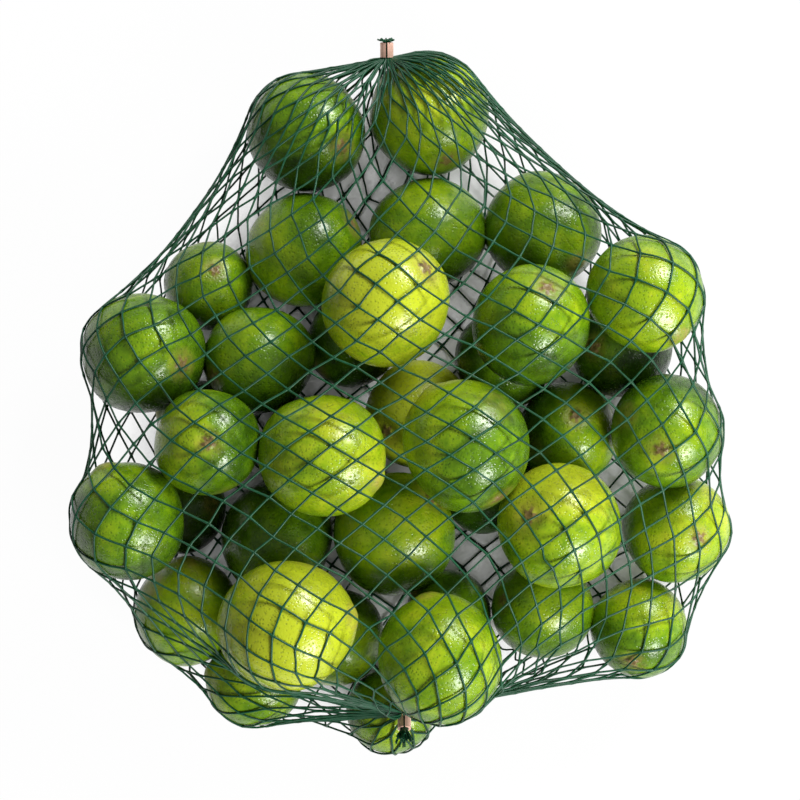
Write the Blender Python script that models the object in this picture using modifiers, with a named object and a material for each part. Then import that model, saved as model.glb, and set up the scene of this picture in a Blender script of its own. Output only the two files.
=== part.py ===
"""A net bag of limes that lies flat, drawn shut at both ends by a small metal clip.

The bag is one closed solid, out to the taut net over the heap. The limes settle on
the floor in two loose layers, and a skin is then pulled tight over them from neck to
neck. Lengths in the named values are in millimetres; the objects are in metres.
"""

import math

import bmesh
import bpy
import numpy as np
from mathutils import Matrix, Vector

MM = 0.001

# Limes as they lie: across, along, diameter, and the height they start to settle from.
LIMES = [
    (-42, 114, 52, 25), (11, 122, 53, 25), (-46, 61, 50, 46), (10, 72, 50, 25),
    (-6, 43, 54, 73), (60, 74, 50, 25), (54, 31, 51, 67), (100, 43, 49, 49),
    (-82, 49, 40, 25), (-105, 20, 53, 34), (-60, 17, 47, 62), (-85, -18, 46, 73),
    (-35, -23, 53, 73), (4, -2, 47, 30), (25, -18, 54, 79), (71, -14, 45, 32),
    (112, -14, 49, 55), (-112, -48, 49, 34), (65, -54, 54, 79), (-3, -60, 53, 45),
    (-54, -60, 50, 25), (-49, -93, 56, 76), (-90, -96, 46, 31), (-30, -108, 42, 25),
    (16, -108, 53, 67), (62, -90, 44, 25), (99, -98, 43, 25), (118, -54, 48, 31),
    (-7, -133, 38, 25), (-66, -117, 40, 25),
]
# Limes out of sight under the others, which are free to roll.
HIDDEN_LIMES = [
    (-26, 14, 40, 25), (95, 11, 44, 25), (-88, -48, 38, 25), (24, -84, 36, 20),
    (-93, -11, 38, 25), (44, 18, 42, 25), (-40, -22, 40, 25), (32, -34, 40, 25),
]
# Settling: each step sinks the limes, draws each towards its place by a share of the way,
# and then pushes apart, in a few rounds, those that overlap.
SETTLE_STEPS = 3000
SINK = 0.05
SEEN_HOLD = 0.02
HIDDEN_HOLD = 0.004
PUSH_ROUNDS = 3
PUSH_SHARE = 0.45

# The net and its two necks: where each leaves the bag, and which way it points.
NET_THICKNESS = 1.0
NECK_RINGS = [(0.0, 0.0), (1.6, 0.0), (3.0, 3.5)]
TOP_NECK = Vector((-7.0, 147.5, 34.0))
TOP_AXIS = Vector((0.0, 0.98, 0.2)).normalized()
BOTTOM_NECK = Vector((0.5, -134.5, 43.5))
BOTTOM_AXIS = Vector((0.0, -0.85, 0.53)).normalized()

# The skin: each point slides on a line from a flat core out to a slack shell round the
# heap. It is pulled tight mostly lengthwise, from neck to neck.
SKIN_SIDES = 64
SKIN_RINGS = 56
HEAP_CENTRE = np.array((0.0, -8.0, 45.0))
CORE_HALF_SIZE = np.array((105.0, 118.0, 4.0))
SLACK_HALF_SIZE = np.array((175.0, 180.0, 75.0))
NECK_SHIFT_POWER = 6
TIGHTEN_STEPS = 600
LENGTHWISE_PULL = 1.0
ROUND_PULL = 0.35

# Clips of bent strip, and the gathered ends of the net that run through them.
CLIP_BORE = 1.9
CLIP_WALL = 1.0
CLIP_WIDTH = 6.4
CLIP_BEVEL = 0.2
CLIP_SLIT = 0.35
CLIP_ARC_POINTS = 16
FACE_GAP = 0.3
TAIL_RADIUS = 1.5
TAIL_TUFT_RADIUS = 2.9
TAIL_SIDES = 16
TOP_TUFT = 2.0
BOTTOM_TUFT = 7.0


def settled_limes():
    """Drop the limes on the floor; each is held near its place and pushed off the others."""
    rows = np.array(LIMES + HIDDEN_LIMES, float)
    hold = np.array([SEEN_HOLD] * len(LIMES) + [HIDDEN_HOLD] * len(HIDDEN_LIMES))[:, None]
    radius = rows[:, 2] / 2
    centre = rows[:, (0, 1, 3)]
    place = centre[:, :2].copy()
    first, second = np.triu_indices(len(rows), 1)
    reach = radius[first] + radius[second]
    for _ in range(SETTLE_STEPS):
        centre[:, 2] -= SINK
        centre[:, :2] += hold * (place - centre[:, :2])
        for _ in range(PUSH_ROUNDS):
            apart = centre[first] - centre[second]
            distance = np.linalg.norm(apart, axis=1)
            overlap = np.maximum(reach - distance, 0)
            push = apart * (PUSH_SHARE * overlap / distance)[:, None]
            np.add.at(centre, first, push)
            np.add.at(centre, second, -push)
            centre[:, 2] = np.maximum(centre[:, 2], radius + NET_THICKNESS)
    return centre, radius


def axis_frame(axis):
    """Columns: world X, the direction square to it and to the axis, and the axis."""
    side = Vector((1, 0, 0))
    return Matrix((side, axis.cross(side), axis)).transposed()


def farthest_lime(start, ray, centre, radius):
    """How far along each ray its last crossing of a lime in its net is, or 0."""
    farthest = np.zeros(len(start))
    for middle, reach in zip(centre, radius + NET_THICKNESS):
        offset = start - middle
        along = np.einsum("ij,ij->i", offset, ray)
        inside_root = along**2 - np.einsum("ij,ij->i", offset, offset) + reach**2
        crossing = np.sqrt(np.maximum(inside_root, 0)) - along
        farthest = np.where(inside_root > 0, np.maximum(farthest, crossing), farthest)
    return farthest


def neck_shift(lengthwise):
    """Moves each end of the core sideways until it points at its neck."""
    shift = np.zeros((len(lengthwise), 3))
    for neck, end in ((TOP_NECK, lengthwise > 0), (BOTTOM_NECK, lengthwise < 0)):
        aside = np.array((neck.x - HEAP_CENTRE[0], 0, neck.z - HEAP_CENTRE[2]))
        shift[end] = np.outer(lengthwise[end] ** NECK_SHIFT_POWER, aside)
    return shift


def neck_point(neck, axis, around, ring):
    """A point of the short cone that draws the skin in to a neck."""
    reach, back = NECK_RINGS[ring]
    upright = Vector((1, 0, 0)).cross(axis)
    if upright.z < 0:
        upright.negate()
    return neck + (Vector((around.x, 0, 0)) + upright * around.z).normalized() * reach - axis * back


def taut_skin(name, centre, radius):
    """A sphere with a pole at each neck, shrunk by its own tension on to the limes."""
    mesh = bpy.data.meshes.new(name)
    shape = bmesh.new()
    bmesh.ops.create_uvsphere(shape, u_segments=SKIN_SIDES, v_segments=SKIN_RINGS, radius=1)
    bmesh.ops.rotate(shape, verts=shape.verts, matrix=Matrix.Rotation(-math.pi / 2, 3, "X"))
    shape.verts.ensure_lookup_table()
    unit = np.array([v.co for v in shape.verts])
    middle = HEAP_CENTRE + neck_shift(unit[:, 1])
    core = unit * CORE_HALF_SIZE + middle
    ray = unit * (SLACK_HALF_SIZE - CORE_HALF_SIZE)
    slack = np.linalg.norm(ray, axis=1)
    ray /= slack[:, None]
    lime = farthest_lime(core, ray, centre, radius)
    floor = np.where(ray[:, 2] < 0, core[:, 2] / np.maximum(-ray[:, 2], 1e-6), np.inf)

    edges = np.array([[v.index for v in e.verts] for e in shape.edges])
    ends = unit[edges]
    lengthwise = np.abs(ends[:, 0, 1] - ends[:, 1, 1]) > 1e-4
    pull = np.where(lengthwise, LENGTHWISE_PULL, ROUND_PULL)
    total_pull = np.bincount(edges.ravel(), np.repeat(pull, 2), len(unit))[:, None]

    ring_step = math.pi / SKIN_RINGS
    ring = np.round(np.arccos(np.clip(np.abs(unit[:, 1]), 0, 1)) / ring_step).astype(int)
    held = ring < len(NECK_RINGS)
    pinned = [
        neck_point(*((TOP_NECK, TOP_AXIS) if unit[i, 1] > 0 else (BOTTOM_NECK, BOTTOM_AXIS)),
                   Vector(unit[i]), ring[i])
        for i in np.flatnonzero(held)
    ]

    reach = slack.copy()
    for _ in range(TIGHTEN_STEPS):
        points = core + ray * reach[:, None]
        points[held] = pinned
        total = np.zeros_like(points)
        np.add.at(total, edges[:, 0], points[edges[:, 1]] * pull[:, None])
        np.add.at(total, edges[:, 1], points[edges[:, 0]] * pull[:, None])
        reach = np.einsum("ij,ij->i", total / total_pull - core, ray)
        reach = np.minimum(np.maximum(reach, lime), floor)

    for vertex, point in zip(shape.verts, points):
        vertex.co = Vector(point) * MM
    bmesh.ops.recalc_face_normals(shape, faces=shape.faces)
    shape.to_mesh(mesh)
    shape.free()
    return bpy.data.objects.new(name, mesh)


def clip(name, neck, axis, slit_side):
    """A strip of metal bent round the neck, its two edges meeting in a slit."""
    outline = bpy.data.curves.new(name, "CURVE")
    outline.dimensions = "2D"
    outline.fill_mode = "BOTH"
    outline.extrude = (CLIP_WIDTH / 2 - CLIP_BEVEL) * MM
    outline.bevel_depth = CLIP_BEVEL * MM
    outline.bevel_resolution = 1
    outline.offset = -CLIP_BEVEL * MM
    outer = CLIP_BORE + CLIP_WALL
    start = math.radians(90) * slit_side
    arc = []
    for reach in (outer, CLIP_BORE):
        half_slit = CLIP_SLIT / reach
        turn = np.linspace(half_slit, 2 * math.pi - half_slit, CLIP_ARC_POINTS)
        if reach == CLIP_BORE:
            turn = turn[::-1]
        arc += [(reach * math.cos(start + a), reach * math.sin(start + a)) for a in turn]
    spline = outline.splines.new("POLY")
    spline.points.add(len(arc) - 1)
    for point, (x, y) in zip(spline.points, arc):
        point.co = (x * MM, y * MM, 0, 1)
    spline.use_cyclic_u = True
    obj = bpy.data.objects.new(name, outline)
    middle = neck + axis * (FACE_GAP + CLIP_WIDTH / 2)
    obj.matrix_world = Matrix.Translation(middle * MM) @ axis_frame(axis).to_4x4()
    return obj


def tail(name, neck, axis, tuft):
    """The gathered end of the net: a stem through the clip, then a short flared tuft."""
    stem = FACE_GAP + CLIP_WIDTH
    profile = [
        (0, FACE_GAP),
        (TAIL_RADIUS, FACE_GAP),
        (TAIL_RADIUS, stem + FACE_GAP),
        (TAIL_TUFT_RADIUS, stem + FACE_GAP + 0.7 * tuft),
        (0.8 * TAIL_TUFT_RADIUS, stem + FACE_GAP + tuft),
        (0, stem + FACE_GAP + 0.9 * tuft),
    ]
    mesh = bpy.data.meshes.new(name)
    corners = [(x * MM, 0, z * MM) for x, z in profile]
    mesh.from_pydata(corners, [(i, i + 1) for i in range(len(corners) - 1)], [])
    obj = bpy.data.objects.new(name, mesh)
    turn = obj.modifiers.new("turn", "SCREW")
    turn.steps = turn.render_steps = TAIL_SIDES
    turn.use_merge_vertices = True
    turn.merge_threshold = 1e-5
    turn.use_normal_calculate = True
    obj.matrix_world = Matrix.Translation(neck * MM) @ axis_frame(axis).to_4x4()
    return obj


def plain_material(name, colour, roughness, metallic=0.0):
    material = bpy.data.materials.new(name)
    material.use_nodes = True
    shader = material.node_tree.nodes["Principled BSDF"]
    shader.inputs["Base Color"].default_value = (*colour, 1)
    shader.inputs["Roughness"].default_value = roughness
    shader.inputs["Metallic"].default_value = metallic
    return material


for leftover in list(bpy.data.objects):
    bpy.data.objects.remove(leftover)
group = bpy.data.collections.new("net_of_limes")
bpy.context.scene.collection.children.link(group)

lime_centre, lime_radius = settled_limes()
pieces = [
    taut_skin("lime_bag", lime_centre, lime_radius),
    clip("top_clip", TOP_NECK, TOP_AXIS, -1),
    clip("bottom_clip", BOTTOM_NECK, BOTTOM_AXIS, 1),
    tail("top_tail", TOP_NECK, TOP_AXIS, TOP_TUFT),
    tail("bottom_tail", BOTTOM_NECK, BOTTOM_AXIS, BOTTOM_TUFT),
]
finishes = {
    "lime_bag": plain_material("lime_green", (0.13, 0.27, 0.03), 0.4),
    "clip": plain_material("copper_strip", (0.55, 0.25, 0.16), 0.35, 1.0),
    "tail": plain_material("green_net", (0.01, 0.09, 0.05), 0.45),
}
for piece in pieces:
    group.objects.link(piece)
    kind = piece.name if piece.name in finishes else piece.name.split("_")[1]
    piece.data.materials.append(finishes[kind])

# The bag's box stands on the floor round the origin.
bpy.context.view_layer.update()
corners = np.array([p.matrix_world @ Vector(c) for p in pieces for c in p.bound_box])
low, high = corners.min(axis=0), corners.max(axis=0)
for piece in pieces:
    piece.location -= Vector(((low[0] + high[0]) / 2, (low[1] + high[1]) / 2, low[2]))
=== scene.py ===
"""A net bag of limes that lies flat: whole limes, a green plastic net, two metal clips."""

import math

import bpy
import numpy as np
from mathutils import Matrix, Vector


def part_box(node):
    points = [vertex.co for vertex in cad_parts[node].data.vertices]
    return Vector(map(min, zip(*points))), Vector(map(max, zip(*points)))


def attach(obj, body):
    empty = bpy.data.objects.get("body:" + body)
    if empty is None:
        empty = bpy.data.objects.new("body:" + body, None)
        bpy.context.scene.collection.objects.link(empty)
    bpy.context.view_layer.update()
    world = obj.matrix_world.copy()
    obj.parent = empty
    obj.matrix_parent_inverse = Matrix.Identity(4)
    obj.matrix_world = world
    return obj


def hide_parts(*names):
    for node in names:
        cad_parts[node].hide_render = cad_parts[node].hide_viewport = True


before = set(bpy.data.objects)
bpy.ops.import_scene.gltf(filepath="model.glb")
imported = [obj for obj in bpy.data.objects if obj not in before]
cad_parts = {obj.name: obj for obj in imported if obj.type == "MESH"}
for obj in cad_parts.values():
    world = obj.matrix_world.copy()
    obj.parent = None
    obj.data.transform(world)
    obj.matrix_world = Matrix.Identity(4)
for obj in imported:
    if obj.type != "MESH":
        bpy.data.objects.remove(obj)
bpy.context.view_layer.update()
bpy.ops.object.select_all(action="DESELECT")

# ---------------------------------------------------------------------------------------
# Limes. Seedless limes, picked green and ripening to yellow-green, a mix of
# sizes. They lie loose in two layers on the floor: each has settled on those under it.
# ---------------------------------------------------------------------------------------
MM = 0.001

# Across, along, diameter and starting height in mm, ripeness from 0 to about 1, and the way
# the blossom end's nipple points.
LIMES = [
    (-42, 114, 52, 25, 0.36, (-0.6, 0.3, -0.7)), (11, 122, 53, 25, 0.66, (-0.3, 0.8, -0.5)),
    (-46, 61, 50, 46, 0.56, (-0.8, -0.4, -0.3)), (10, 72, 50, 25, 0.42, (0.7, 0.6, -0.4)),
    (-6, 43, 54, 73, 1.06, (-0.6, -0.5, -0.6)), (60, 74, 50, 25, 0.32, (0.5, -0.57, 0.65)),
    (54, 31, 51, 67, 0.33, (-0.23, -0.58, -0.78)), (100, 43, 49, 49, 0.62, (0.5, -0.7, 0.5)),
    (-82, 49, 40, 25, 0.37, (-0.2, -0.3, -0.9)), (-105, 20, 53, 34, 0.30, (-0.7, 0.2, -0.7)),
    (-60, 17, 47, 62, 0.40, (0.8, 0.3, -0.5)), (-85, -18, 46, 73, 0.52, (-0.1, 0.0, -1.0)),
    (-35, -23, 53, 73, 0.72, (0.85, -0.35, 0.4)), (4, -2, 47, 30, 1.0, (0.57, 0.3, -0.76)),
    (25, -18, 54, 79, 0.54, (-0.5, 0.8, -0.3)), (71, -14, 45, 32, 0.46, (-0.1, -0.35, -0.9)),
    (112, -14, 49, 55, 0.39, (0.2, 0.3, -0.9)), (-112, -48, 49, 34, 0.40, (-0.3, 0.8, 0.2)),
    (65, -54, 54, 79, 0.84, (0.5, -0.2, -0.8)), (-3, -60, 53, 45, 0.58, (-0.6, -0.6, -0.5)),
    (-54, -60, 50, 25, 0.40, (0.3, 0.7, -0.6)), (-49, -93, 56, 76, 1.10, (0.9, 0.15, 0.3)),
    (-90, -96, 46, 31, 0.56, (0.05, 0.85, 0.4)), (-30, -108, 42, 25, 0.60, (0.5, 0.2, -0.8)),
    (16, -108, 53, 67, 0.56, (-0.2, 0.9, 0.1)), (62, -90, 44, 25, 0.54, (0.8, -0.2, -0.5)),
    (99, -98, 43, 25, 0.54, (0.2, 0.6, -0.7)), (118, -54, 48, 31, 0.62, (-0.3, 0.1, -0.9)),
    (-7, -133, 38, 25, 0.45, (0.9, 0.2, 0.1)), (-66, -117, 40, 25, 0.45, (-0.8, 0.2, 0.2)),
    (-26, 14, 40, 25, 0.10, (0.0, 0.7, 0.7)), (95, 11, 44, 25, 0.12, (0.6, 0.0, -0.8)),
    (-88, -48, 38, 25, 0.10, (0.2, 0.9, 0.2)), (24, -84, 36, 20, 0.14, (-0.7, 0.4, 0.3)),
    (-93, -11, 38, 25, 0.10, (-0.9, 0.3, 0.3)), (44, 18, 42, 25, 0.10, (0.4, -0.8, 0.2)),
    (-40, -22, 40, 25, 0.10, (0.1, 0.2, -0.9)), (32, -34, 40, 25, 0.10, (0.7, 0.7, 0.1)),
]
SEEN = 30
SETTLE_STEPS = 3000
SINK = 0.05
SEEN_HOLD = 0.02
HIDDEN_HOLD = 0.004
PUSH_ROUNDS = 3
PUSH_SHARE = 0.45
NET_THICKNESS = 1.0
NET_UNDER = 0.4
LIME_LONG = 1.04
LIME_ACROSS = 0.975

# The necks of the net and the clip on the top one, which tie this heap to the frame.
TOP_NECK = np.array((-7.0, 147.5, 34.0))
TOP_AXIS = np.array((0.0, 0.98, 0.2)) / math.hypot(0.98, 0.2)
BOTTOM_NECK = np.array((0.5, -134.5, 43.5))
BOTTOM_AXIS = np.array((0.0, -0.85, 0.53)) / math.hypot(0.85, 0.53)
CLIP_MIDDLE = 3.5
top_clip_box = np.array(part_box("top_clip")) / MM
SHIFT = top_clip_box.mean(axis=0) - (TOP_NECK + TOP_AXIS * CLIP_MIDDLE)


def settled_limes():
    """Drop the limes on the floor; each is held near its place and pushed off the others."""
    rows = np.array([row[:4] for row in LIMES], float)
    hold = np.full((len(LIMES), 1), HIDDEN_HOLD)
    hold[:SEEN] = SEEN_HOLD
    radius = rows[:, 2] / 2
    centre = rows[:, (0, 1, 3)]
    place = centre[:, :2].copy()
    first, second = np.triu_indices(len(rows), 1)
    reach = radius[first] + radius[second]
    for _ in range(SETTLE_STEPS):
        centre[:, 2] -= SINK
        centre[:, :2] += hold * (place - centre[:, :2])
        for _ in range(PUSH_ROUNDS):
            apart = centre[first] - centre[second]
            distance = np.linalg.norm(apart, axis=1)
            overlap = np.maximum(reach - distance, 0)
            push = apart * (PUSH_SHARE * overlap / distance)[:, None]
            np.add.at(centre, first, push)
            np.add.at(centre, second, -push)
            centre[:, 2] = np.maximum(centre[:, 2], radius + NET_THICKNESS)
    return centre + SHIFT, radius


lime_centre, lime_radius = settled_limes()
lime_turn = [Vector(row[5]).normalized().to_track_quat("Z", "Y").to_matrix() for row in LIMES]


def select_where(mesh_object, test):
    """In edit mode's vertex mode, select the vertices whose place passes the test."""
    bpy.ops.object.mode_set(mode="OBJECT")
    for polygon in mesh_object.data.polygons:
        polygon.select = False
    for edge in mesh_object.data.edges:
        edge.select = False
    for vertex in mesh_object.data.vertices:
        vertex.select = test(vertex.co)
    bpy.ops.object.mode_set(mode="EDIT")
    bpy.ops.mesh.select_mode(type="VERT")


def model_lime():
    """A unit lime: nipple at the blossom end, up, and a dimple with its button below."""
    bpy.ops.mesh.primitive_uv_sphere_add(segments=72, ring_count=54, radius=1)
    lime = bpy.context.object
    bpy.ops.object.mode_set(mode="EDIT")
    select_where(lime, lambda p: p.z > 0.999)
    bpy.ops.transform.translate(value=(0, 0, 0.075), use_proportional_edit=True,
                                proportional_edit_falloff="SMOOTH", proportional_size=0.34)
    select_where(lime, lambda p: p.z > 1.06)
    bpy.ops.transform.translate(value=(0, 0, -0.018), use_proportional_edit=True,
                                proportional_edit_falloff="SHARP", proportional_size=0.1)
    select_where(lime, lambda p: p.z < -0.999)
    bpy.ops.transform.translate(value=(0, 0, 0.045), use_proportional_edit=True,
                                proportional_edit_falloff="SMOOTH", proportional_size=0.36)
    select_where(lime, lambda p: p.z < 0 and math.hypot(p.x, p.y) < 0.12)
    bpy.ops.mesh.extrude_region_move(TRANSFORM_OT_translate={"value": (0, 0, -0.022)})
    bpy.ops.transform.resize(value=(0.82, 0.82, 1), center_override=(0, 0, -1))
    select_where(lime, lambda p: p.z < 0 and math.hypot(p.x, p.y) < 0.01)
    bpy.ops.transform.translate(value=(0, 0, 0.02))
    bpy.ops.object.mode_set(mode="OBJECT")
    bpy.ops.object.shade_smooth()
    return lime


def smooth_step(value, low, high):
    ramp = np.clip((value - low) / (high - low), 0, 1)
    return ramp * ramp * (3 - 2 * ramp)


# Lumps of the peel: broad ones that put each lime out of round, and shallow small ones.
lump_textures = []
for lump_name, lump_size in (("broad_lumps", 0.028), ("small_lumps", 0.009)):
    lumps = bpy.data.textures.new(lump_name, "CLOUDS")
    lumps.noise_basis = "IMPROVED_PERLIN"
    lumps.noise_scale = lump_size
    lumps.noise_depth = 0
    lump_textures.append(lumps)
LUMP_HEIGHTS = (0.0030, 0.0003)

# Each lime ripens unevenly, palest on about this side as it lies. The side points up, toward the
# camera and a little toward the upper lamp, so this is also painted light: paler on top, darker and
# greener underneath.
RIPE_AND_PAINTED_LIGHT_SIDE = np.array((0.15, 0.3, 1.0))
RIPE_AND_PAINTED_LIGHT_SCATTER = 0.45
NIPPLE_RIPER = 0.22


def place_lime(master, index, chance):
    """A copy of the unit lime at its own place, size and turn, with its own lumps."""
    green_to_yellow = LIMES[index][4]
    lime = master.copy()
    lime.data = master.data.copy()
    bpy.context.collection.objects.link(lime)
    unit = np.array([v.co for v in lime.data.vertices])
    toward = unit / np.linalg.norm(unit, axis=1)[:, None]

    # Painted light on top of uneven ripening: each lime is paler towards the top and the lamps, and
    # darker underneath.
    ripe_and_painted_light_way = (RIPE_AND_PAINTED_LIGHT_SIDE + chance.normal(0, RIPE_AND_PAINTED_LIGHT_SCATTER, 3)) @ np.array(lime_turn[index])
    ripe_and_painted_light_way /= np.linalg.norm(ripe_and_painted_light_way)
    ripe_and_painted_light_side = smooth_step(toward @ ripe_and_painted_light_way, -0.2, 1.0) * chance.uniform(0.25, 0.45) - 0.17
    nipple = smooth_step(toward[:, 2], 0.6, 1.0) * NIPPLE_RIPER
    rub_way = chance.normal(size=3)
    rub_way /= np.linalg.norm(rub_way)
    rub = smooth_step(toward @ rub_way, 1 - chance.uniform(0.02, 0.08), 1.0)
    tip = smooth_step(toward[:, 2], 0.965, 0.995)
    halo = smooth_step(-toward[:, 2], 0.93, 1.0)
    tan = np.maximum(rub * chance.uniform(0.0, 0.8), np.maximum(0.8 * tip, 0.6 * halo))
    off_axis = np.hypot(unit[:, 0], unit[:, 1])
    around = np.arctan2(unit[:, 1], unit[:, 0])
    star = 0.115 + 0.03 * np.cos(5 * around)
    button = np.where(unit[:, 2] < 0, 1 - smooth_step(off_axis / star, 0.8, 1.15), 0)
    peel = np.stack([green_to_yellow + ripe_and_painted_light_side + nipple, tan, button, np.ones(len(unit))], axis=1)
    look = lime.data.attributes.new("peel", "FLOAT_COLOR", "POINT")
    look.data.foreach_set("color", peel.astype(np.float32).ravel())

    radius = lime_radius[index] * MM
    size = Matrix.Diagonal((radius * LIME_ACROSS, radius * LIME_ACROSS, radius * LIME_LONG, 1))
    place = Matrix.Translation(Vector(lime_centre[index]) * MM)
    lime.data.transform(place @ lime_turn[index].to_4x4() @ size)
    bpy.context.view_layer.objects.active = lime
    for lumps, height in zip(lump_textures, LUMP_HEIGHTS):
        bump = lime.modifiers.new(lumps.name, "DISPLACE")
        bump.texture = lumps
        bump.texture_coords = "LOCAL"
        bump.strength = height
        bump.mid_level = 0.5
        bpy.ops.object.modifier_apply(modifier=bump.name)
    lowest = min(v.co.z for v in lime.data.vertices)
    lime.data.transform(Matrix.Translation((0, 0, max(0, NET_UNDER * MM - lowest))))
    return lime


class Wire:
    """One output socket. Sums and products of wires add Math nodes to its material."""

    def __init__(self, tree, socket):
        self.tree = tree
        self.socket = socket

    def node(self, kind, settings=None, sockets=None, output=0):
        """Any other node: its type, its settings, then values or wires for its sockets."""
        made = self.tree.nodes.new(kind)
        for name, value in (settings or {}).items():
            if name == "stops":
                for stop in list(made.color_ramp.elements)[1:]:
                    made.color_ramp.elements.remove(stop)
                made.color_ramp.elements[0].position = value[0][0]
                made.color_ramp.elements[0].color = (*value[0][1], 1)
                for position, colour in value[1:]:
                    made.color_ramp.elements.new(position).color = (*colour, 1)
            else:
                setattr(made, name, value)
        for name, value in (sockets or {}).items():
            if isinstance(value, Wire):
                self.tree.links.new(value.socket, made.inputs[name])
            else:
                made.inputs[name].default_value = value
        return Wire(self.tree, made.outputs[output])

    def maths(self, operation, first, second):
        return self.node("ShaderNodeMath", {"operation": operation}, {0: first, 1: second})

    def noise(self, scale, detail=2.0, roughness=0.5):
        sockets = {"Vector": self, "Scale": scale, "Detail": detail, "Roughness": roughness}
        return self.node("ShaderNodeTexNoise", None, sockets)

    def between(self, low, high):
        """0 at low and 1 at high, held to that range."""
        sockets = {"Value": self, "From Min": low, "From Max": high}
        return self.node("ShaderNodeMapRange", {"clamp": True}, sockets)

    def colours(self, stops):
        return self.node("ShaderNodeValToRGB", {"stops": stops}, {"Fac": self})

    def mix(self, first, second):
        """A colour from first to second as this wire goes from 0 to 1."""
        ends = {}
        for name, value in ((6, first), (7, second)):
            ends[name] = value if isinstance(value, Wire) else (*value, 1)
        return self.node("ShaderNodeMix", {"data_type": "RGBA"}, {0: self, **ends}, output=2)

    def __add__(self, other):
        return self.maths("ADD", self, other)

    def __sub__(self, other):
        return self.maths("SUBTRACT", self, other)

    def __rsub__(self, other):
        return self.maths("SUBTRACT", other, self)

    def __mul__(self, other):
        return self.maths("MULTIPLY", self, other)

    __radd__ = __add__
    __rmul__ = __mul__


def start_material(name, **constants):
    """A Principled material with constant sockets set, and its Object coordinates."""
    material = bpy.data.materials.new(name)
    material.use_nodes = True
    tree = material.node_tree
    shader = tree.nodes["Principled BSDF"]
    for socket, value in constants.items():
        shader.inputs[socket.replace("_", " ")].default_value = value
    place = tree.nodes.new("ShaderNodeTexCoord").outputs["Object"]
    return material, shader, Wire(tree, place)


def feed(shader, socket, wire):
    wire.tree.links.new(wire.socket, shader.inputs[socket])


def peel_material():
    """Waxy peel: blotched green ripening to yellow, paler on top as painted light, dark oil glands,
    tan rubs and scars.
    """
    material, shader, place = start_material(
        "lime_peel", Subsurface_Weight=0.06, Subsurface_Scale=0.002,
        Subsurface_Radius=(0.6, 1.0, 0.15), Specular_IOR_Level=0.5)
    attribute = place.node("ShaderNodeAttribute", {"attribute_name": "peel"})
    channels = attribute.tree.nodes.new("ShaderNodeSeparateColor")
    attribute.tree.links.new(attribute.socket, channels.inputs[0])
    # The first channel carries ripening together with painted light: each lime is paler on top and
    # darker underneath.
    green_to_yellow, tan, button = (Wire(attribute.tree, out) for out in channels.outputs)

    broad = place.noise(48, 2.0, 0.5).between(0.32, 0.68)
    blotch = place.noise(125, 3.0, 0.6).between(0.32, 0.68)
    mottle = place.noise(420, 2.0, 0.6).between(0.3, 0.7)
    tone = green_to_yellow + (broad - 0.5) * 0.24 + (blotch - 0.5) * 0.26 + (mottle - 0.5) * 0.1
    green = tone.colours([
        (0.0, (0.014, 0.044, 0.002)),
        (0.25, (0.048, 0.120, 0.003)),
        (0.5, (0.130, 0.265, 0.004)),
        (0.75, (0.285, 0.430, 0.007)),
        (1.0, (0.480, 0.560, 0.020)),
    ])
    gland = place.node("ShaderNodeTexVoronoi", {"feature": "F1"},
                       {"Vector": place, "Scale": 700.0, "Randomness": 0.9})
    pit = 1 - gland.between(0.12, 0.42)
    speckled = (pit * 0.34).mix(green, (0.02, 0.062, 0.003))
    rubbed = (tan * place.noise(330, 4.0, 0.7).between(0.3, 0.62) * 0.8).mix(
        speckled, (0.42, 0.29, 0.07))
    feed(shader, "Base Color", button.mix(rubbed, (0.22, 0.15, 0.05)))

    wax = place.noise(160, 3.0, 0.65).between(0.3, 0.7)
    feed(shader, "Roughness", 0.17 + wax * 0.16 + pit * 0.12 + tan * 0.25)
    grain = pit * -1.0 + place.noise(520, 3.0, 0.6) * 1.2
    bump = grain.node("ShaderNodeBump", None,
                      {"Strength": 0.5, "Distance": 0.00025, "Height": grain})
    feed(shader, "Normal", bump)
    return material


peel = peel_material()
unit_lime = model_lime()
luck = np.random.default_rng(7)
limes = [place_lime(unit_lime, index, luck) for index in range(len(LIMES))]
bpy.data.objects.remove(unit_lime)

KINDS = [("deep_green_limes", 0.0, 0.38), ("green_limes", 0.38, 0.57), ("ripe_limes", 0.57, 1.2)]
lime_pieces = []
for kind, least, most in KINDS:
    bpy.ops.object.select_all(action="DESELECT")
    batch = [limes[i] for i, row in enumerate(LIMES) if least <= row[4] < most]
    for lime in batch:
        lime.select_set(True)
    bpy.context.view_layer.objects.active = batch[0]
    bpy.ops.object.join()
    heap = bpy.context.object
    heap.name = kind
    heap.data.materials.clear()
    heap.data.materials.append(peel)
    lime_pieces.append(heap)
bpy.ops.object.select_all(action="DESELECT")
for heap in lime_pieces:
    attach(heap, "root")

# ---------------------------------------------------------------------------------------
# Net. A tube of extruded plastic net, its strands running round it both ways and welded
# where they cross, filled and drawn to a neck at each end so that it lies tight.
# ---------------------------------------------------------------------------------------
CELLS_ROUND = 38
ROWS = 40
CELL_SIDE = 12.0
SIDE_SPREAD = 0.06
STRAND_RADIUS = 0.45
STRAND_ROUNDING = 1
KNOT_SWELL = 1.45
NET_LIFT = 0.55
NECK_RADIUS = 1.5
PULL = 0.35
PRE_STRETCH = 0.9
KEEP_SPEED = 0.9
RUB_SPEED = 0.7
NET_STEPS = 3000
SLACK_MIDDLE = np.array((0.0, -8.0, 46.0)) + SHIFT
SLACK_SIZE = np.array((165.0, 172.0, 62.0))
SLACK_START = 0.04
SLACK_SHARE = 0.92


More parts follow.
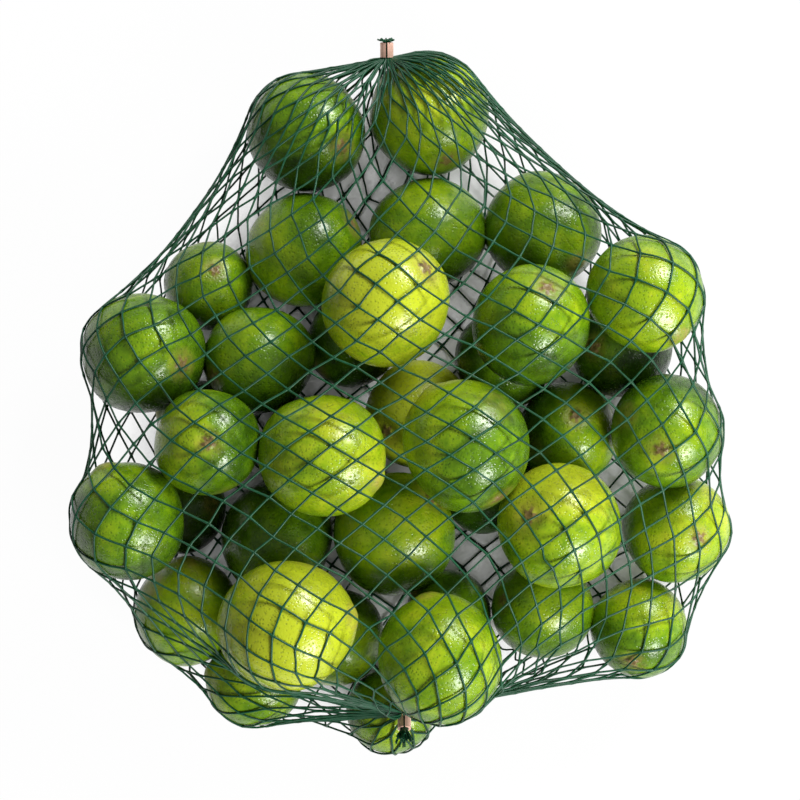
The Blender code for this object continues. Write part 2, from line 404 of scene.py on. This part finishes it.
def lay_out_net():
    """Number the crossings row by row, then the middle of each side, and join them up."""
    crossings = (ROWS + 1) * CELLS_ROUND
    sides = []
    strands = {"leaning_right": [], "leaning_left": []}
    middle = crossings
    for step in (0, -1):
        lean = "leaning_right" if step == 0 else "leaning_left"
        for start in range(CELLS_ROUND):
            column = start
            strand = [column]
            for row in range(ROWS):
                column = (column + step + row % 2) % CELLS_ROUND
                crossing = (row + 1) * CELLS_ROUND + column
                sides += [(strand[-1], middle), (middle, crossing)]
                strand += [middle, crossing]
                middle += 1
            strands[lean].append(strand)
    return np.array(sides), strands, middle


def neck_ring(neck, axis, angle):
    """Points round a neck, in two rings so that the gathered strands fill it."""
    across = np.array((1.0, 0.0, 0.0))
    up = np.cross(across, axis)
    up *= math.copysign(1, up[2])
    reach = NECK_RADIUS * np.where(np.arange(len(angle)) % 2, 1.0, 0.55)[:, None]
    return neck + SHIFT + reach * (np.cos(angle)[:, None] * across + np.sin(angle)[:, None] * up)


def tighten_net(sides, strands, count):
    """Start from a slack tube and let the stretched strands pull themselves on to the limes."""
    place = np.zeros((count, 3))
    column = np.arange(CELLS_ROUND)
    for row in range(ROWS + 1):
        angle = 2 * math.pi * (column + 0.5 * (row % 2)) / CELLS_ROUND
        down = math.pi * (SLACK_START + SLACK_SHARE * row / ROWS)
        round_row = np.stack([math.sin(down) * np.cos(angle),
                              np.full(CELLS_ROUND, math.cos(down)),
                              math.sin(down) * np.sin(angle)], axis=1)
        span = slice(row * CELLS_ROUND, (row + 1) * CELLS_ROUND)
        place[span] = SLACK_MIDDLE + SLACK_SIZE * round_row
    top = slice(0, CELLS_ROUND)
    bottom = slice(ROWS * CELLS_ROUND, (ROWS + 1) * CELLS_ROUND)
    turn = 2 * math.pi * column / CELLS_ROUND
    place[top] = neck_ring(TOP_NECK, TOP_AXIS, turn)
    place[bottom] = neck_ring(BOTTOM_NECK, BOTTOM_AXIS, turn)
    for strand in strands["leaning_right"] + strands["leaning_left"]:
        place[strand[1::2]] = (place[strand[0:-1:2]] + place[strand[2::2]]) / 2
    top_held, bottom_held = place[top].copy(), place[bottom].copy()

    chance = np.random.default_rng(3)
    spread = chance.normal(1, SIDE_SPREAD, len(sides) // 2)
    rest = np.repeat(spread, 2) * CELL_SIDE / 2 * PRE_STRETCH
    first, second = sides.T
    half = lime_radius[:, None] * np.array((LIME_ACROSS, LIME_ACROSS, LIME_LONG)) + NET_LIFT
    turns = [np.array(turn) for turn in lime_turn]
    speed = np.zeros_like(place)
    for _ in range(NET_STEPS):
        along = place[second] - place[first]
        length = np.linalg.norm(along, axis=1)
        tug = along * (PULL * np.maximum(length - rest, 0) / length)[:, None]
        force = np.stack([np.bincount(first, tug[:, c], count)
                          - np.bincount(second, tug[:, c], count) for c in range(3)], axis=1)
        speed = (speed + force) * KEEP_SPEED
        place += speed
        for middle, reach, axes in zip(lime_centre, half, turns):
            offset = place - middle
            near = np.flatnonzero(np.einsum("ij,ij->i", offset, offset) < reach[2] ** 2)
            deep = np.linalg.norm(offset[near] @ axes / reach, axis=1)
            near, deep = near[deep < 1], deep[deep < 1]
            place[near] = middle + offset[near] / deep[:, None]
            out = offset[near] / np.linalg.norm(offset[near], axis=1)[:, None]
            inward = np.minimum(np.einsum("ij,ij->i", speed[near], out), 0)
            speed[near] = (speed[near] - out * inward[:, None]) * RUB_SPEED
        low = place[:, 2] < STRAND_RADIUS
        place[low, 2] = STRAND_RADIUS
        speed[low, 2] = 0
        place[top], place[bottom] = top_held, bottom_held
        speed[top] = speed[bottom] = 0
    return place


def smooth_path(points, cuts):
    """A Catmull-Rom curve through the points, in equal cuts between each two."""
    ends = np.vstack([2 * points[0] - points[1], points, 2 * points[-1] - points[-2]])
    a, b, c, d = ends[:-3], ends[1:-2], ends[2:-1], ends[3:]
    pieces = []
    for t in np.arange(cuts) / cuts:
        pieces.append(0.5 * (2 * b + (c - a) * t + (2 * a - 5 * b + 4 * c - d) * t**2
                             + (3 * b - a - 3 * c + d) * t**3))
    path = np.stack(pieces, axis=1).reshape(-1, 3)
    return np.vstack([path, points[-1:]])


def strand_tubes(name, paths, radii):
    """One mesh of round strands, each along its own path in mm with its own radii."""
    curve = bpy.data.curves.new(name, "CURVE")
    curve.dimensions = "3D"
    curve.bevel_depth = MM
    curve.bevel_resolution = STRAND_ROUNDING
    curve.use_fill_caps = True
    for path, radius in zip(paths, radii):
        spline = curve.splines.new("POLY")
        spline.points.add(len(path) - 1)
        corners = np.column_stack([path * MM, np.ones(len(path))])
        spline.points.foreach_set("co", corners.ravel())
        spline.points.foreach_set("radius", radius)
    tubes = bpy.data.objects.new(name, curve)
    bpy.context.collection.objects.link(tubes)
    tubes.select_set(True)
    bpy.context.view_layer.objects.active = tubes
    bpy.ops.object.convert(target="MESH")
    bpy.ops.object.shade_smooth()
    tubes = bpy.context.object
    tubes.select_set(False)
    return tubes


def net_material():
    """Glossy dark green plastic, a little bluer and paler where the strand is drawn thin."""
    material, shader, place = start_material("green_net_plastic", Specular_IOR_Level=0.35)
    thin = place.noise(70, 2.0).between(0.35, 0.65)
    streak = place.noise(900, 2.0).between(0.3, 0.7)
    feed(shader, "Base Color", (thin * 0.6 + streak * 0.3).mix((0.003, 0.046, 0.016),
                                                               (0.009, 0.095, 0.042)))
    feed(shader, "Roughness", 0.32 + streak * 0.2)
    return material


net_sides, net_strands, net_count = lay_out_net()
net_place = tighten_net(net_sides, net_strands, net_count)
net_plastic = net_material()
CUTS = 3
net_pieces = []
for lean, strands in net_strands.items():
    paths = [smooth_path(net_place[strand], CUTS) for strand in strands]
    swell = np.ones(2 * ROWS * CUTS + 1)
    swell[::2 * CUTS] = KNOT_SWELL
    radii = [STRAND_RADIUS * swell] * len(paths)
    strands_mesh = strand_tubes(f"net_strands_{lean}", paths, radii)
    strands_mesh.data.materials.append(net_plastic)
    net_pieces.append(strands_mesh)
for strands_mesh in net_pieces:
    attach(strands_mesh, "root")
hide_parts("lime_bag")

# ---------------------------------------------------------------------------------------
# Gathered ends. All the strands of the net run side by side through each clip and stop a
# few millimetres past it, cut off and springing apart.
# ---------------------------------------------------------------------------------------
THROUGH_CLIP = 7.0
TOP_TUFT = 1.2
BOTTOM_TUFT = 7.0
TUFT_LEAD_IN = 1.5
TUFT_STRAND_RADIUS = 0.36


def tuft_paths(neck, axis, ring, length, chance):
    """The ends of the strands: through the clip, then splayed to different lengths."""
    middle = neck + SHIFT
    paths = []
    for start in ring:
        out = start - middle
        stop = length * chance.uniform(0.45, 1.0)
        splay = out * chance.uniform(0.6, 1.9) + chance.normal(0, 0.35, 3)
        paths.append(smooth_path(np.array([
            start - axis * TUFT_LEAD_IN + out * 0.3,
            start,
            middle + out * 0.85 + axis * THROUGH_CLIP * 0.5,
            middle + out * 0.9 + axis * THROUGH_CLIP,
            middle + out + splay * 0.5 + axis * (THROUGH_CLIP + stop * 0.55),
            middle + out + splay + axis * (THROUGH_CLIP + stop),
        ]), 3))
    return paths


tuft_luck = np.random.default_rng(11)
for end, neck, axis, row, length in (("top", TOP_NECK, TOP_AXIS, 0, TOP_TUFT),
                                     ("bottom", BOTTOM_NECK, BOTTOM_AXIS, ROWS, BOTTOM_TUFT)):
    ring = net_place[row * CELLS_ROUND:(row + 1) * CELLS_ROUND]
    paths = tuft_paths(neck, axis, ring, length, tuft_luck)
    radii = [np.full(len(path), TUFT_STRAND_RADIUS) for path in paths]
    tuft = strand_tubes(f"{end}_gathered_end", paths, radii)
    tuft.data.materials.append(net_plastic)
    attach(tuft, "root")
    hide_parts(f"{end}_tail")

# ---------------------------------------------------------------------------------------
# Clips. Short strips of copper-coloured metal bent round each neck by a machine until
# their two edges meet. The shapes are the frame's own; only the finish is made here.
# ---------------------------------------------------------------------------------------


def clip_material():
    """Rolled copper-coloured strip, dulled and lightly scuffed along its length."""
    material, shader, place = start_material("copper_strip", Metallic=0.35)
    dull = place.noise(500, 3.0).between(0.35, 0.65)
    scuff = place.noise(2600, 2.0).between(0.45, 0.6)
    feed(shader, "Base Color", (dull * 0.6).mix((0.92, 0.58, 0.46), (0.74, 0.42, 0.31)))
    feed(shader, "Roughness", 0.34 + dull * 0.18 + scuff * 0.1)
    return material


copper = clip_material()
for clip_name in ("top_clip", "bottom_clip"):
    bpy.data.objects[clip_name].material_slots[0].material = copper

# ---------------------------------------------------------------------------------------
# Floor, light and camera. A white table top seen from straight above, with two soft
# boxes to the right of the bag, one past its top and one past its bottom.
# ---------------------------------------------------------------------------------------
CAMERA_HEIGHT = 1.1
PICTURE_WIDTH = 0.340
FOCUS_HEIGHT = 0.05
CAMERA_ASIDE = 0.0013
ROOM_LIGHT = 0.18


def white_floor():
    """A matt white top, white to the camera where it is open and shadowed under the limes."""
    material, shader, _ = start_material("white_top", Roughness=0.7)
    shader.inputs["Base Color"].default_value = (0.9, 0.9, 0.9, 1)
    tree = material.node_tree
    rays = tree.nodes.new("ShaderNodeLightPath").outputs
    seen = Wire(tree, rays["Is Camera Ray"])
    seen = seen + Wire(tree, rays["Is Glossy Ray"]) + Wire(tree, rays["Is Transmission Ray"])
    openness = seen.node("ShaderNodeAmbientOcclusion", {"samples": 8}, {"Distance": 0.06}, output=1)
    glow = seen.node("ShaderNodeEmission", None, {"Color": (1, 1, 1, 1), "Strength": 1.0})
    matt = Wire(tree, shader.outputs["BSDF"])
    share = seen.maths("MINIMUM", seen, 1.0) * openness.between(0.2, 0.34) * 0.97
    both = seen.node("ShaderNodeMixShader", None, {0: share, 1: matt, 2: glow})
    tree.links.new(both.socket, tree.nodes["Material Output"].inputs["Surface"])
    return material


bpy.ops.mesh.primitive_plane_add(size=6, location=(0, 0, 0))
floor = bpy.context.object
floor.name = "table_top"
floor.data.materials.append(white_floor())
floor.select_set(False)

world = bpy.data.worlds.new("studio")
bpy.context.scene.world = world
world.use_nodes = True
world_rays = world.node_tree.nodes.new("ShaderNodeLightPath").outputs
plain = Wire(world.node_tree, world_rays["Is Camera Ray"])
background = world.node_tree.nodes["Background"]
background.inputs["Color"].default_value = (1, 1, 1, 1)
strength = ROOM_LIGHT + plain * (1 - ROOM_LIGHT)
world.node_tree.links.new(strength.socket, background.inputs["Strength"])

LAMPS = [
    ("upper_box", (0.5, 0.72, 0.54), 19.0),
    ("lower_box", (0.55, -0.66, 0.54), 19.0),
]
LAMP_DISTANCE = 1.3
LAMP_SIZE = 0.5
aim = Vector((0, 0, FOCUS_HEIGHT))
for lamp_name, way, power in LAMPS:
    lamp = bpy.data.lights.new(lamp_name, "AREA")
    lamp.energy = power
    lamp.shape = "SQUARE"
    lamp.size = LAMP_SIZE
    holder = bpy.data.objects.new(lamp_name, lamp)
    bpy.context.collection.objects.link(holder)
    out = Vector(way).normalized()
    holder.location = aim + out * LAMP_DISTANCE
    holder.rotation_euler = out.to_track_quat("Z", "Y").to_euler()

camera_data = bpy.data.cameras.new("overhead")
camera_data.lens = camera_data.sensor_width * (CAMERA_HEIGHT - FOCUS_HEIGHT) / PICTURE_WIDTH
camera = bpy.data.objects.new("overhead", camera_data)
bpy.context.collection.objects.link(camera)
camera.location = (SHIFT[0] * MM - CAMERA_ASIDE, SHIFT[1] * MM, CAMERA_HEIGHT)
bpy.context.scene.camera = camera
bpy.context.scene.view_settings.view_transform = "Standard"
